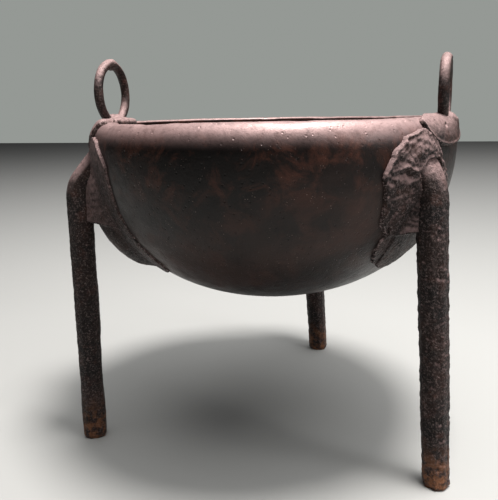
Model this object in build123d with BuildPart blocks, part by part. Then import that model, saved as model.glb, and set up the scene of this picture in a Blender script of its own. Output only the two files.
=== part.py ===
from build123d import *
import os
from math import atan2, cos, degrees, radians, sin, sqrt

# A cast bronze cauldron on three rod legs, with two upright ring handles.
# Millimetres, +Z up. The origin is on the floor, under the centre of the bowl.
# Bearings are in degrees about +Z, counted from +X, which runs to the right handle.

# Bowl
shoulder_radius = 185.0        # outside, at the widest point
shoulder_height = 310.0
rim_height = 336.0
rim_radius = 171.0             # where the shoulder turns level at the top
lip_radius = 166.0             # where the lip's rounded edge begins
lip_thickness = 5.0
bowl_bottom = 153.7            # underside of the bowl, above the floor
wall = 4.0
bowl_fullness = 0.60           # handle length of the lower curve, 0.55 would be an ellipse

# Legs: straight faceted rods that knee inward to meet the shoulder
foot_circle_radius = 204.7
leg_width_foot = 24.5          # across flats
leg_width_root = 27.0
leg_corner = 7.0               # chamfer that turns the square rod into eight facets
knee_height = 262.0
knee_bend = 38.0               # degrees inward from the shaft
knee_radius = 29.0             # bend radius of the centreline
root_reach = 46.0              # rod beyond the knee, most of it against the bowl
foot_wear = 2.0                # rounded edge of the foot

front_right_bearing = -26.9
front_right_knee_radius = 189.0
front_right_knee_sway = 0.0
front_left_bearing = 210.6
front_left_knee_radius = 200.5
front_left_knee_sway = 0.0
back_bearing = 87.3
back_knee_radius = 197.0
back_knee_sway = 14.0          # the back leg leans sideways, counter-clockwise

# Pads: tongues of metal cast on round each leg's root and over the wall
pad_thickness = 10.0           # in the middle of the pad
pad_edge = 3.0                 # where its sides end
pad_top = 322.0
pad_bottom = 197.0
pad_shoulder = 34.0            # from the pad's top down to where it is widest
pad_underside_rise = 23.0      # how far the pad's own curve bottoms out above the bowl's
front_right_pad_half_width = 60.0
front_left_pad_half_width = 72.0
back_pad_half_width = 64.0
collar_wall = 3.0              # pad metal beside the leg's root
collar_edge = 2.5              # the collar's edges are taken off where they meet the leg
crotch_drop = 25.0             # the collar starts this far below the knee
crotch_radius = 18.0           # the hollow curve from the leg over to the pad
collar_depth = 24.0            # how far the collar's block is carried into the bowl before fitting
plug_radius = 6.5              # metal that ran through a pierced hole in the wall
plug_head_radius = 12.0
plug_head_thickness = 3.5
plug_height = 276.0
plug_share = 0.52              # of the pad's half width, on each side of the leg

# Ring handles
ring_rod = 10.0
left_ring_joint_swelling = 1.5     # the left ring's ends meet in a lump at the top
right_ring_joint_swelling = 0.5
left_ring_bearing = 186.0
left_ring_twist = -3.0         # the ring's plane, turned from square to the bearing
left_ring_place_radius = 177.1
left_ring_radius = 30.5        # to the middle of the rod
left_ring_bed = 6.0            # the ring's lowest point lies this far under the rim
right_ring_bearing = -6.0
right_ring_twist = 3.4
right_ring_place_radius = 172.8
right_ring_radius = 28.0
right_ring_bed = 9.3

# Saddles: a flap outside, a tongue inside and a hump over each ring's lowest arc
saddle_thickness = 3.0
left_flap_bearing = 196.0
left_flap_half_width = 66.0
right_flap_bearing = -12.5
right_flap_half_width = 54.0
flap_drop = 27.5               # below the rim
tongue_half_width = 24.0
tongue_drop = 24.0
hump_half_length = 25.0
hump_cover = 4.0               # metal over the ring's rod
hump_end = 2.5                 # the hump's radius where it dies out

# Shared sizes that follow from those above
shoulder_drop = shoulder_height - bowl_bottom
shoulder_rise = rim_height - shoulder_height
shoulder_overhang = shoulder_radius - rim_radius
lip_rounding = lip_thickness / 2
far = 2 * shoulder_radius      # longer than anything that it has to cut through


def outward(bearing, distance=1.0):
    """A level vector from the bowl's axis along a bearing."""
    return Vector(distance * cos(radians(bearing)), distance * sin(radians(bearing)), 0)


def radial_plane(bearing):
    """The upright plane through the axis: x runs outward, y runs up."""
    normal = Vector(sin(radians(bearing)), -cos(radians(bearing)), 0)
    return Plane(origin=(0, 0, 0), x_dir=outward(bearing), z_dir=normal)


def facing_plane(bearing, distance=0.0, height=0.0):
    """The upright plane square to a bearing: x runs counter-clockwise, y runs up."""
    origin = outward(bearing, distance) + Vector(0, 0, height)
    return Plane(origin=origin, x_dir=outward(bearing + 90), z_dir=outward(bearing))


def lower_curve(inset, axis_shift=0.0, extra_radius=0.0, rise=0.0):
    """The bowl's curve from its lowest point up to the shoulder, moved inward by inset."""
    low = bowl_bottom + inset + rise
    wide = shoulder_radius - inset + extra_radius
    reach = wide - axis_shift
    return Bezier(
        (axis_shift, low),
        (axis_shift + bowl_fullness * reach, low),
        (wide, shoulder_height - bowl_fullness * (shoulder_height - low)),
        (wide, shoulder_height),
    )


def shoulder_curve(overhang, rise):
    """A quarter of the ellipse that carries the shoulder up to the level rim."""
    return EllipticalCenterArc(
        (rim_radius, shoulder_height), overhang, rise, start_angle=0, arc_size=90)


def ring_plane(bearing, twist, place_radius, radius, bed):
    """The plane that a ring lies in, with its origin at the ring's centre."""
    height = rim_height - bed + ring_rod / 2 + radius
    origin = outward(bearing, place_radius) + Vector(0, 0, height)
    return Plane(origin=origin, x_dir=outward(bearing + twist + 90), z_dir=outward(bearing + twist))


legs = {
    "front_right": (
        front_right_bearing, front_right_knee_radius, front_right_knee_sway, front_right_pad_half_width),
    "front_left": (
        front_left_bearing, front_left_knee_radius, front_left_knee_sway, front_left_pad_half_width),
    "back": (back_bearing, back_knee_radius, back_knee_sway, back_pad_half_width),
}
handles = {
    "left": (
        ring_plane(left_ring_bearing, left_ring_twist, left_ring_place_radius,
                   left_ring_radius, left_ring_bed),
        left_ring_radius, left_ring_joint_swelling, left_flap_bearing, left_flap_half_width),
    "right": (
        ring_plane(right_ring_bearing, right_ring_twist, right_ring_place_radius,
                   right_ring_radius, right_ring_bed),
        right_ring_radius, right_ring_joint_swelling, right_flap_bearing, right_flap_half_width),
}


def plug_planes(bearing, half_width):
    """Where the pad's metal runs through the wall, on each side of the leg."""
    offset = degrees(plug_share * half_width / shoulder_radius)
    return [facing_plane(bearing + side * offset, 0, plug_height) for side in (-1, 1)]


os.makedirs("parts", exist_ok=True)

# The bowl as a full body, which everything cast on from outside is cut to
with BuildPart() as bowl_body:
    with BuildSketch(Plane.XZ):
        with BuildLine():
            lower_curve(0)
            shoulder_curve(shoulder_overhang, shoulder_rise)
            Polyline((rim_radius, rim_height), (0, rim_height), (0, bowl_bottom))
        make_face()
    revolve(axis=Axis.Z)

# An even wall that thickens into a rounded lip turned inward
with BuildPart() as bowl_wall:
    with BuildSketch(Plane.XZ):
        with BuildLine():
            lower_curve(0)
            shoulder_curve(shoulder_overhang, shoulder_rise)
            Line((rim_radius, rim_height), (lip_radius, rim_height))
            ThreePointArc(
                (lip_radius, rim_height),
                (lip_radius - lip_rounding, rim_height - lip_rounding),
                (lip_radius, rim_height - lip_thickness))
            Line((lip_radius, rim_height - lip_thickness), (rim_radius, rim_height - lip_thickness))
            shoulder_curve(shoulder_overhang - wall, shoulder_rise - lip_thickness)
            lower_curve(wall)
            Line((0, bowl_bottom), (0, bowl_bottom + wall))
        make_face()
    revolve(axis=Axis.Z)

# A layer on the inside of the wall, as thick as the heads of the plugs
with BuildPart() as bowl_lining:
    with BuildSketch(Plane.XZ):
        with BuildLine():
            lower_curve(wall)
            lower_curve(wall + plug_head_thickness)
            Line((0, bowl_bottom + wall), (0, bowl_bottom + wall + plug_head_thickness))
            Line(
                (shoulder_radius - wall, shoulder_height),
                (shoulder_radius - wall - plug_head_thickness, shoulder_height))
        make_face()
    revolve(axis=Axis.Z)

# The bowl: the wall, pierced for the pads and notched for the rings
with BuildPart() as bowl:
    add(bowl_wall.part)
    for bearing, knee, sway, half_width in legs.values():
        with Locations(*plug_planes(bearing, half_width)):
            Cylinder(
                plug_radius, far, align=(Align.CENTER, Align.CENTER, Align.MIN), mode=Mode.SUBTRACT)
    for ring_place, radius, joint_swelling, flap_bearing, half_width in handles.values():
        with Locations(ring_place):
            Torus(radius, ring_rod / 2, mode=Mode.SUBTRACT)
bowl.part.label = "bowl"
export_step(bowl.part, "parts/bowl.step")


def leg_frame(bearing, knee, sway):
    """The plane that a leg bends in: x runs up the shaft from the knee, y runs inward."""
    foot = outward(bearing, foot_circle_radius)
    knee_point = outward(bearing, knee) + outward(bearing + 90, sway) + Vector(0, 0, knee_height)
    up_shaft = (knee_point - foot).normalized()
    square = up_shaft.cross(outward(bearing) * -1).normalized()
    return Plane(origin=knee_point, x_dir=up_shaft, z_dir=square)


def across_shaft(frame, below_knee):
    """The plane square to the shaft, some way below the knee: y runs inward."""
    origin = frame.origin - frame.x_dir * below_knee
    return Plane(origin=origin, x_dir=frame.y_dir.cross(frame.x_dir), z_dir=frame.x_dir)


def root_path(frame):
    """The centreline from the knee, round the bend and on into the shoulder."""
    with BuildLine(frame) as path:
        bend = JernArc((0, 0), (1, 0), knee_radius, knee_bend)
        Line(bend @ 1, (bend @ 1) + (bend % 1) * root_reach)
    return path.line


def rod_section(width):
    """The faceted section of a leg: a square with its corners taken off."""
    Rectangle(width, width)
    chamfer(vertices(), leg_corner * width / leg_width_root)


def make_leg(bearing, knee, sway):
    """One rod leg, cut level at the floor and fitted to the outside of the bowl."""
    frame = leg_frame(bearing, knee, sway)
    shaft_length = knee_height / frame.x_dir.Z
    with BuildPart() as leg:
        with BuildSketch(across_shaft(frame, shaft_length + leg_width_foot)):
            rod_section(leg_width_foot)
        with BuildSketch(across_shaft(frame, 0)):
            rod_section(leg_width_root)
        loft(ruled=True)
        with BuildSketch(across_shaft(frame, 0)):
            rod_section(leg_width_root)
        sweep(path=root_path(frame))
        split(bisect_by=Plane.XY, keep=Keep.TOP)
        chamfer(faces().sort_by(Axis.Z)[0].edges(), foot_wear)
        add(bowl_body.part, mode=Mode.SUBTRACT)
    return leg.part


leg_parts = {}
for name, (bearing, knee, sway, half_width) in legs.items():
    leg_parts[name] = make_leg(bearing, knee, sway)
    leg_parts[name].label = "leg_" + name
    export_step(leg_parts[name], f"parts/leg_{name}.step")


def make_ring(ring_place, radius, joint_swelling):
    """A cast ring of round rod, upright, with a lump where its ends meet at the top."""
    with BuildPart() as ring:
        with Locations(ring_place):
            Torus(radius, ring_rod / 2)
        lump_plane = Plane(
            origin=ring_place.from_local_coords((0, radius, 0)),
            x_dir=ring_place.y_dir, z_dir=ring_place.x_dir)
        with BuildSketch(lump_plane):
            with BuildLine():
                lump_arc = ThreePointArc(
                    (0, -ring_rod / 2 - joint_swelling),
                    (ring_rod / 2 + joint_swelling, 0),
                    (0, ring_rod / 2 + joint_swelling))
                Line(lump_arc @ 0, lump_arc @ 1)
            make_face()
        revolve(axis=Axis(lump_plane.origin, lump_plane.y_dir))
    return ring.part


def make_tongue(bearing):
    """The saddle's inner end: a layer round the lip's edge and down the inside of the shoulder."""
    inner_rise = shoulder_rise - lip_thickness - saddle_thickness
    inner_overhang = shoulder_overhang - wall - saddle_thickness
    with BuildPart() as tongue:
        with BuildSketch(radial_plane(bearing)):
            with BuildLine():
                ThreePointArc(
                    (lip_radius, rim_height + saddle_thickness),
                    (lip_radius - lip_rounding - saddle_thickness, rim_height - lip_rounding),
                    (lip_radius, rim_height - lip_thickness - saddle_thickness))
                Line(
                    (lip_radius, rim_height - lip_thickness - saddle_thickness),
                    (rim_radius, rim_height - lip_thickness - saddle_thickness))
                shoulder_curve(inner_overhang, inner_rise)
                Polyline(
                    (rim_radius + inner_overhang, shoulder_height),
                    (rim_radius + shoulder_overhang - wall / 2, shoulder_height),
                    (rim_radius, rim_height - lip_thickness / 2),
                    (lip_radius, rim_height - lip_thickness / 2),
                    (lip_radius, rim_height + saddle_thickness))
            make_face()
        revolve(axis=Axis.Z)
        with BuildSketch(facing_plane(bearing, 0, rim_height)):
            Ellipse(tongue_half_width, tongue_drop)
        extrude(amount=far, mode=Mode.INTERSECT)
    return tongue.part


def make_saddle(ring_place, radius, flap_bearing, half_width, ring_part):
    """The metal cast over the rim that holds a ring: flap outside, tongue inside, hump on top."""
    ring_bearing = degrees(atan2(ring_place.origin.Y, ring_place.origin.X))
    lowest = ring_place.origin - Vector(0, 0, radius)
    with BuildPart() as saddle:
        # A layer over the shoulder and the outer half of the lip, cut to a half ellipse
        with BuildSketch(radial_plane(flap_bearing)):
            with BuildLine():
                shoulder_curve(
                    shoulder_overhang + saddle_thickness, shoulder_rise + saddle_thickness)
                Polyline(
                    (rim_radius, rim_height + saddle_thickness),
                    (lip_radius, rim_height + saddle_thickness),
                    (lip_radius, shoulder_height - flap_drop),
                    (shoulder_radius + saddle_thickness, shoulder_height - flap_drop),
                    (shoulder_radius + saddle_thickness, shoulder_height))
            make_face()
        revolve(axis=Axis.Z)
        with BuildSketch(facing_plane(flap_bearing, 0, rim_height)):
            Ellipse(half_width, flap_drop)
        extrude(amount=far, mode=Mode.INTERSECT)
        add(make_tongue(ring_bearing))
        # The hump: a spindle round the ring's lowest arc
        with BuildSketch(Plane(origin=lowest, x_dir=ring_place.x_dir, z_dir=ring_place.z_dir)):
            with BuildLine():
                ThreePointArc(
                    (-hump_half_length, hump_end), (0, ring_rod / 2 + hump_cover),
                    (hump_half_length, hump_end))
                Polyline(
                    (hump_half_length, hump_end), (hump_half_length, 0),
                    (-hump_half_length, 0), (-hump_half_length, hump_end))
            make_face()
        revolve(axis=Axis(lowest, ring_place.x_dir))
        add(bowl_wall.part, mode=Mode.SUBTRACT)
        add(ring_part, mode=Mode.SUBTRACT)
    return saddle.part


saddle_parts = {}
for name, (ring_place, radius, joint_swelling, flap_bearing, half_width) in handles.items():
    ring = make_ring(ring_place, radius, joint_swelling)
    ring.label = "ring_" + name
    export_step(ring, f"parts/ring_{name}.step")
    saddle_parts[name] = make_saddle(ring_place, radius, flap_bearing, half_width, ring)
    saddle_parts[name].label = "saddle_" + name
    export_step(saddle_parts[name], f"parts/saddle_{name}.step")


def pad_outline(half_width):
    """A tongue: half of it from the middle of its top to its tip, mirrored into a whole."""
    with BuildLine() as outline:
        Bezier(
            (0, pad_top), (0.75 * half_width, pad_top),
            (half_width, pad_top - pad_shoulder / 3), (half_width, pad_top - pad_shoulder))
        Bezier(
            (half_width, pad_top - pad_shoulder),
            (half_width, (pad_top - pad_shoulder + pad_bottom) / 2 - pad_shoulder / 6),
            (0.45 * half_width, pad_bottom), (0, pad_bottom))
        mirror(about=Plane.YZ)
    return outline.edges()


def pad_axis_shift(half_width):
    """How far out the pad's own upright axis lies, so that it thins out to its edges."""
    middle = shoulder_radius + pad_thickness
    side = sqrt(shoulder_radius ** 2 - half_width ** 2) + pad_edge
    return (middle ** 2 - side ** 2 - half_width ** 2) / (2 * (middle - side))


def make_keys(bearing, half_width):
    """The pad's metal that fills the pierced holes, with a flat head on the inside."""
    upward = (Align.CENTER, Align.CENTER, Align.MIN)
    with BuildPart() as heads:
        with Locations(*plug_planes(bearing, half_width)):
            Cylinder(plug_head_radius, far, align=upward)
        add(bowl_lining.part, mode=Mode.INTERSECT)
    with BuildPart() as keys:
        with Locations(*plug_planes(bearing, half_width)):
            Cylinder(plug_radius, far, align=upward)
        add(bowl_wall.part, mode=Mode.INTERSECT)
        add(heads.part)
    return keys.part


def make_collar(frame):
    """The pad's metal between the leg's root and the bowl, hollowed out below."""
    root_end = root_reach + knee_radius
    deep = crotch_radius + collar_depth
    with BuildPart() as collar:
        with BuildSketch(frame):
            with BuildLine():
                JernArc(
                    (-crotch_drop, leg_width_root / 2), (0, 1), crotch_radius, 90)
                Polyline(
                    (-crotch_drop - crotch_radius, leg_width_root / 2 + crotch_radius),
                    (-crotch_drop - crotch_radius, leg_width_root / 2 + deep),
                    (root_end * cos(radians(knee_bend)), leg_width_root / 2 + deep),
                    (root_end * cos(radians(knee_bend)), root_end * sin(radians(knee_bend))),
                    (0, 0),
                    (-crotch_drop, 0),
                    (-crotch_drop, leg_width_root / 2))
            make_face()
        extrude(amount=leg_width_root / 2 + collar_wall, both=True)
        chamfer(faces().sort_by(Axis(frame.origin, frame.y_dir))[0].edges(), collar_edge)
    return collar.part


def make_pad(bearing, knee, sway, half_width, leg_part):
    """The metal cast on round a leg's root, keyed through the wall on both sides of it."""
    shift = pad_axis_shift(half_width)
    frame = leg_frame(bearing, knee, sway)
    with BuildPart() as pad:
        with BuildSketch(radial_plane(bearing)):
            with BuildLine():
                lower_curve(0, shift, pad_thickness, pad_underside_rise)
                EllipticalCenterArc(
                    (rim_radius, shoulder_height),
                    shoulder_overhang + pad_thickness, pad_top - shoulder_height,
                    start_angle=0, arc_size=90)
                Polyline(
                    (rim_radius, pad_top), (shift, pad_top),
                    (shift, bowl_bottom + pad_underside_rise))
            make_face()
        revolve(axis=Axis(outward(bearing, shift), (0, 0, 1)))
        with BuildSketch(facing_plane(bearing, shift)):
            make_face(pad_outline(half_width))
        extrude(amount=shoulder_radius, mode=Mode.INTERSECT)
        add(make_collar(frame))
        add(bowl_body.part, mode=Mode.SUBTRACT)
        add(make_keys(bearing, half_width))
        add(leg_part, mode=Mode.SUBTRACT)
        add(list(saddle_parts.values()), mode=Mode.SUBTRACT)
    return pad.part


pad_parts = {}
for name, (bearing, knee, sway, half_width) in legs.items():
    pad_parts[name] = make_pad(bearing, knee, sway, half_width, leg_parts[name])
    pad_parts[name].label = "pad_" + name
    export_step(pad_parts[name], f"parts/pad_{name}.step")
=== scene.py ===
import math

import bpy
import numpy as np
from mathutils import Matrix, Vector
from mathutils.bvhtree import BVHTree


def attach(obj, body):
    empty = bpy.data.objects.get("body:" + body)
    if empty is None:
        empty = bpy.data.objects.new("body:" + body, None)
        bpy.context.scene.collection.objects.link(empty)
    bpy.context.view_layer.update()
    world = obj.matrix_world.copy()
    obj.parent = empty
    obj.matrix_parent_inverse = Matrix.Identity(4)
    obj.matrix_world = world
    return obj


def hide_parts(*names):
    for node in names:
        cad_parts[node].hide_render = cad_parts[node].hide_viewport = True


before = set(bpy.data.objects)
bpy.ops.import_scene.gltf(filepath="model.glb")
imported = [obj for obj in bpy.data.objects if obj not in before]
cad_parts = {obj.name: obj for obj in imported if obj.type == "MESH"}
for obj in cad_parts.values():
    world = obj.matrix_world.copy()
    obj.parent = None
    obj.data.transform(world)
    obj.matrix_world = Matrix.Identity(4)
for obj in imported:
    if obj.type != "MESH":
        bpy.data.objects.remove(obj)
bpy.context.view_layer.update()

BODY = "root"
MM = 0.001
NOWHERE = -10 * MM                 # stands for no height at all on the skin

# The bowl's outline, as the CAD has it
SHOULDER_RADIUS = 185 * MM
SHOULDER_HEIGHT = 310 * MM
RIM_RADIUS = 171 * MM
RIM_HEIGHT = 336 * MM
LIP_RADIUS = 166 * MM
LIP_THICKNESS = 5 * MM
BOWL_BOTTOM = 153.7 * MM
WALL = 4 * MM
FULLNESS = 0.60


# Noise on arrays of points

AXIS_PRIMES = (374761393, 668265263, 2147483647)
SEED_PRIME = 1274126177


def lattice(cells, seed):
    """A repeatable random value from -1 to 1 for each whole-numbered cell."""
    mixed = seed * SEED_PRIME
    for axis, prime in enumerate(AXIS_PRIMES):
        mixed = mixed + cells[:, axis] * prime
    mixed = (mixed ^ (mixed >> 13)) * SEED_PRIME
    mixed = mixed ^ (mixed >> 16)
    return (mixed & 0xFFFFFF) / float(0x7FFFFF) - 1.0


def smooth_noise(points, size, seed=0):
    """Smooth noise from -1 to 1, with lumps about as large as size."""
    scaled = points / size
    low = np.floor(scaled).astype(np.int64)
    part = scaled - low
    part = part * part * (3 - 2 * part)
    total = np.zeros(len(points))
    for corner in np.ndindex(2, 2, 2):
        weight = np.prod(np.where(corner, part, 1 - part), axis=1)
        total += weight * lattice(low + np.array(corner), seed)
    return total


def rough_noise(points, size, octaves, seed=0):
    """Layers of smooth noise, each half as large and half as strong as the last."""
    total = np.zeros(len(points))
    strength = 1.0
    for octave in range(octaves):
        total += strength * smooth_noise(points, size / 2 ** octave, seed + octave)
        strength /= 2
    return total


def step(value, low, high):
    """0 below low, 1 above high, and smooth between them."""
    share = np.clip((value - low) / (high - low), 0, 1)
    return share * share * (3 - 2 * share)


# Mesh helpers

def mesh_points(mesh):
    points = np.empty(len(mesh.vertices) * 3)
    mesh.vertices.foreach_get("co", points)
    return points.reshape(-1, 3)


def set_points(mesh, points):
    mesh.vertices.foreach_set("co", points.ravel())
    mesh.update()


def add_object(name, mesh):
    piece = bpy.data.objects.new(name, mesh)
    bpy.context.scene.collection.objects.link(piece)
    return piece


def shade_smooth(mesh):
    mesh.polygons.foreach_set("use_smooth", [True] * len(mesh.polygons))
    mesh.update()


def new_mesh(name, points, faces):
    mesh = bpy.data.meshes.new(name)
    mesh.from_pydata(points.tolist(), [], faces)
    mesh.validate()
    mesh.update()
    return mesh


def stand_in(piece, node):
    """Puts a piece in the place of a CAD node."""
    shade_smooth(piece.data)
    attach(piece, BODY)
    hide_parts(node)


# The bowl

BOWL_TURNS = 384


def bezier(start, first, second, end, count):
    share = np.linspace(0, 1, count)[:, None]
    start, first, second, end = (np.array(point) for point in (start, first, second, end))
    return (
        (1 - share) ** 3 * start + 3 * (1 - share) ** 2 * share * first
        + 3 * (1 - share) * share ** 2 * second + share ** 3 * end)


def lower_curve(inset, count):
    low = BOWL_BOTTOM + inset
    wide = SHOULDER_RADIUS - inset
    return bezier(
        (0, low), (FULLNESS * wide, low),
        (wide, SHOULDER_HEIGHT - FULLNESS * (SHOULDER_HEIGHT - low)), (wide, SHOULDER_HEIGHT),
        count)


def shoulder_curve(overhang, rise, count):
    turn = np.linspace(0, math.pi / 2, count)
    return np.stack([
        RIM_RADIUS + overhang * np.cos(turn), SHOULDER_HEIGHT + rise * np.sin(turn)], axis=1)


def bowl_outline():
    """Radius and height along the bowl's section, from under the bottom round to its inside."""
    overhang = SHOULDER_RADIUS - RIM_RADIUS
    rise = RIM_HEIGHT - SHOULDER_HEIGHT
    lip_turn = np.linspace(math.pi / 2, 3 * math.pi / 2, 9)
    lip = np.stack([
        LIP_RADIUS + LIP_THICKNESS / 2 * np.cos(lip_turn),
        RIM_HEIGHT - LIP_THICKNESS / 2 + LIP_THICKNESS / 2 * np.sin(lip_turn)], axis=1)
    outside = lower_curve(0, 90)[1:]
    outer_shoulder = shoulder_curve(overhang, rise, 14)[1:]
    inner_shoulder = shoulder_curve(overhang - WALL, rise - LIP_THICKNESS, 10)[::-1]
    inside = lower_curve(WALL, 60)[::-1][1:-1]
    return np.concatenate([outside, outer_shoulder, lip, inner_shoulder, inside])


def lathe(name, outline, bottom, top, turns):
    """A closed surface of revolution round Z, with a pole at each end of the outline."""
    angles = np.arange(turns) * 2 * math.pi / turns
    rows = len(outline)
    points = np.stack([
        outline[:, 0][:, None] * np.cos(angles), outline[:, 0][:, None] * np.sin(angles),
        np.repeat(outline[:, 1][:, None], turns, axis=1)], axis=2).reshape(-1, 3)
    points = np.concatenate([points, [[0, 0, bottom], [0, 0, top]]])
    faces = []
    for row in range(rows - 1):
        for turn in range(turns):
            ahead = (turn + 1) % turns
            faces.append((
                row * turns + turn, row * turns + ahead,
                (row + 1) * turns + ahead, (row + 1) * turns + turn))
    last = (rows - 1) * turns
    for turn in range(turns):
        ahead = (turn + 1) % turns
        faces.append((rows * turns, ahead, turn))
        faces.append((rows * turns + 1, last + turn, last + ahead))
    return new_mesh(name, points, faces)


def make_bowl():
    """The bowl, with the slow dents, uneven rim and shallow pits of old cast bronze."""
    mesh = lathe("bowl_shell", bowl_outline(), BOWL_BOTTOM, BOWL_BOTTOM + WALL, BOWL_TURNS)
    points = mesh_points(mesh)
    radius = np.hypot(points[:, 0], points[:, 1])
    around = np.stack([points[:, 0], points[:, 1], np.zeros(len(points))], axis=1)
    outward = around / np.maximum(radius, 1e-6)[:, None]
    near_rim = step(points[:, 2], SHOULDER_HEIGHT - 8 * MM, RIM_HEIGHT)
    # Slow waves in the rim, which stays under its nominal height
    wave = smooth_noise(around, 70 * MM, 3) - 0.6
    points[:, 2] += near_rim * 0.9 * MM * wave
    ragged = np.minimum(rough_noise(around, 22 * MM, 3, 11), 0)
    points[:, 2] += step(points[:, 2], RIM_HEIGHT - 7 * MM, RIM_HEIGHT) * 0.9 * MM * ragged
    # Broad dents push the wall inward only, so that the bowl keeps its size
    dent = np.minimum(smooth_noise(points, 60 * MM, 5) - 0.15, 0)
    points += outward * (0.9 * MM * dent * step(radius, 40 * MM, 120 * MM))[:, None]
    set_points(mesh, points)
    piece = add_object("bowl_shell", mesh)
    stand_in(piece, "bowl")
    return piece


# The bowl's skin, which the castings stand on

LOWER_POINTS = 500
SHOULDER_POINTS = 60
OUTSIDE_POINTS = LOWER_POINTS + SHOULDER_POINTS - 2
INSIDE_LIP = (
    # radius and height in millimetres
    (168.0, 330.9), (170.5, 330.0), (173.5, 328.2), (176.2, 325.5), (178.3, 322.0),
    (179.7, 318.0), (180.7, 313.0), (181.0, 306.0))
SUNK = 0.8 * MM                    # how far a casting's edge goes in under the skin
GRID_BORDER = 1.5                  # degrees


def skin_path():
    """The outer skin from the underside up to the rim, over the lip and down inside it."""
    overhang = SHOULDER_RADIUS - RIM_RADIUS
    rise = RIM_HEIGHT - SHOULDER_HEIGHT
    turn = np.linspace(0.15, 1, 8)[:, None] * math.pi
    lip = np.concatenate([
        LIP_RADIUS - LIP_THICKNESS / 2 * np.sin(turn),
        RIM_HEIGHT - LIP_THICKNESS / 2 + LIP_THICKNESS / 2 * np.cos(turn)], axis=1)
    inside = np.array(INSIDE_LIP) * MM
    return np.concatenate([
        lower_curve(0, LOWER_POINTS), shoulder_curve(overhang, rise, SHOULDER_POINTS)[1:],
        [[LIP_RADIUS + 2 * MM, RIM_HEIGHT]], lip, inside])


SKIN = skin_path()
SKIN_ARC = np.concatenate([[0], np.cumsum(np.linalg.norm(np.diff(SKIN, axis=0), axis=1))])
# Lengths along the skin are counted from the widest point, upward
SKIN_ARC -= np.interp(SHOULDER_HEIGHT, SKIN[:LOWER_POINTS, 1], SKIN_ARC[:LOWER_POINTS])
SKIN_SLOPE = np.gradient(SKIN, SKIN_ARC, axis=0)


def on_skin(arc, bearing, lift=0.0):
    """Points at a length along the skin and a bearing in degrees, lifted off the skin."""
    radius = np.interp(arc, SKIN_ARC, SKIN[:, 0])
    height = np.interp(arc, SKIN_ARC, SKIN[:, 1])
    slope = np.stack([np.interp(arc, SKIN_ARC, SKIN_SLOPE[:, axis]) for axis in (0, 1)])
    slope /= np.maximum(np.hypot(slope[0], slope[1]), 1e-9)
    radius = radius + slope[1] * lift
    height = height - slope[0] * lift
    turn = np.radians(bearing)
    return np.stack([radius * np.cos(turn), radius * np.sin(turn), height], axis=-1)


def skin_radius(height):
    """The skin's radius at a height, up to the rim."""
    return np.interp(height, SKIN[:OUTSIDE_POINTS, 1], SKIN[:OUTSIDE_POINTS, 0])


def unrolled(arc, bearing, middle):
    """Length along the skin's girth from the middle bearing."""
    return np.radians(bearing - middle) * np.interp(arc, SKIN_ARC, SKIN[:, 0])


def to_segment(x, y, ax, ay, bx, by):
    """Distance of flat points from the line between two corners."""
    share = ((x - ax) * (bx - ax) + (y - ay) * (by - ay)) / ((bx - ax) ** 2 + (by - ay) ** 2)
    share = np.clip(share, 0, 1)
    return np.hypot(x - ax - share * (bx - ax), y - ay - share * (by - ay))


def inside_outline(outline, arc, bearing):
    """How far points lie inside an outline of (bearing, millimetres along the skin)."""
    middle = bearing.mean()
    x = unrolled(arc, bearing, middle)
    corners = np.array(outline, dtype=float)
    corner_y = corners[:, 1] * MM
    corner_x = unrolled(corner_y, corners[:, 0], middle)
    nearest = np.full(x.shape, np.inf)
    inside = np.zeros(x.shape, dtype=bool)
    for index in range(len(corners)):
        ax, ay = corner_x[index - 1], corner_y[index - 1]
        bx, by = corner_x[index], corner_y[index]
        nearest = np.minimum(nearest, to_segment(x, arc, ax, ay, bx, by))
        if ay != by:
            crosses = (ay > arc) != (by > arc)
            inside ^= crosses & (x < ax + (arc - ay) * (bx - ax) / (by - ay))
    return np.where(inside, nearest, -nearest)


def along_line(line, arc, bearing):
    """Distance of points from an open line of (bearing, millimetres along the skin)."""
    middle = bearing.mean()
    x = unrolled(arc, bearing, middle)
    corners = np.array(line, dtype=float)
    corner_y = corners[:, 1] * MM
    corner_x = unrolled(corner_y, corners[:, 0], middle)
    nearest = np.full(x.shape, np.inf)
    for index in range(1, len(corners)):
        ax, ay = corner_x[index - 1], corner_y[index - 1]
        bx, by = corner_x[index], corner_y[index]
        nearest = np.minimum(nearest, to_segment(x, arc, ax, ay, bx, by))
    return nearest


def ridge(distance, width):
    """1 on a line, falling off on both sides over about this width."""
    return np.exp(-(distance / width) ** 2)


def skin_grid(outline, bottom, top, arc_step, bearing_step):
    """Lengths along the skin from bottom to top, and bearings that cover an outline."""
    corners = np.array(outline)
    arcs = np.arange(bottom, top, arc_step) * MM
    first, last = corners[:, 0].min() - GRID_BORDER, corners[:, 0].max() + GRID_BORDER
    return arcs, np.arange(first, last, bearing_step)


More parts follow.
